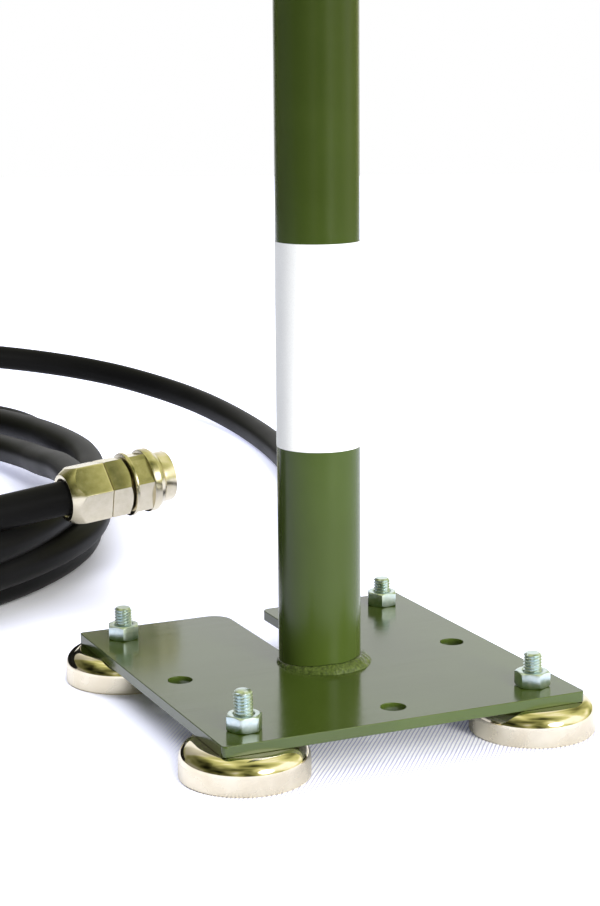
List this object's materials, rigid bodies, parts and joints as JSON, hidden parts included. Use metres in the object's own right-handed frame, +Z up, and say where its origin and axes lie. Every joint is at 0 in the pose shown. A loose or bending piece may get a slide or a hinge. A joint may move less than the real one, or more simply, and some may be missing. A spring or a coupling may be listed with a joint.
{
  "type": "magnetic base mast antenna",
  "caption": "Mast antenna on a square steel plate with pot magnets at its corners, a cable slot, and a coiled coaxial cable with a hexagon clamp plug.",
  "frame": {"origin": "on the floor, at the centre of the object without its free cable, which is the mast's axis", "axes": "+Z up along the mast, +X along the plate's front edge, +Y to the edge that the cable slot opens on"},
  "size_m": [0.4168, 0.6767, 0.459],
  "materials": {
    "green_paint": "satin olive green paint",
    "nickel_steel": "nickel plated, satin sides and a bright shoulder",
    "ferrite": "ground",
    "potting_resin": "matt",
    "zinc_steel": "bright zinc plated",
    "label_paper": "matt paper",
    "cable_jacket": "satin black",
    "boot_rubber": "matt",
    "nickel_brass": "nickel plated brass",
    "plain_brass": "turned",
    "white_insulator": "matt"
  },
  "bodies": {
    "antenna": {"base_plate": "green_paint", "mast_tube": "green_paint", "weld_bead": "green_paint", "radome_tube": "green_paint", "radome_bush": "green_paint", "radome_cap": "green_paint", "magnet_cup_front_left": "nickel_steel", "magnet_disc_front_left": "ferrite", "magnet_potting_front_left": "potting_resin", "magnet_stud_front_left": "zinc_steel", "magnet_cup_front_right": "nickel_steel", "magnet_disc_front_right": "ferrite", "magnet_potting_front_right": "potting_resin", "magnet_stud_front_right": "zinc_steel", "magnet_cup_back_left": "nickel_steel", "magnet_disc_back_left": "ferrite", "magnet_potting_back_left": "potting_resin", "magnet_stud_back_left": "zinc_steel", "magnet_cup_back_right": "nickel_steel", "magnet_disc_back_right": "ferrite", "magnet_potting_back_right": "potting_resin", "magnet_stud_back_right": "zinc_steel", "hex_nuts": "zinc_steel", "mast_label": "label_paper", "feed_cable": "cable_jacket", "cable_lead": "cable_jacket", "cable_coil": "cable_jacket", "cable_tail": "cable_jacket", "cable_boot": "boot_rubber", "plug_gasket": "boot_rubber", "plug_clamp_nut": "nickel_brass", "plug_body": "nickel_brass", "plug_snap_ring": "nickel_brass", "plug_braid_ring": "plain_brass", "plug_centre_pin": "plain_brass", "ground_disc": "plain_brass", "radiator_rod": "plain_brass", "plug_insulator": "white_insulator", "feed_insulator": "white_insulator", "rod_spacer_lower": "white_insulator", "rod_spacer_upper": "white_insulator"},
    "coupling_nut": {"plug_coupling_nut": "nickel_brass"}
  },
  "joints": [
    {"name": "coupling_nut_spin", "type": "hinge", "parent": "antenna", "child": "coupling_nut", "pos_m": [-0.00616, 0.14989, 0.04684], "axis": [0.9923, 0.0821, 0.0924], "continuous": true}
  ]
}
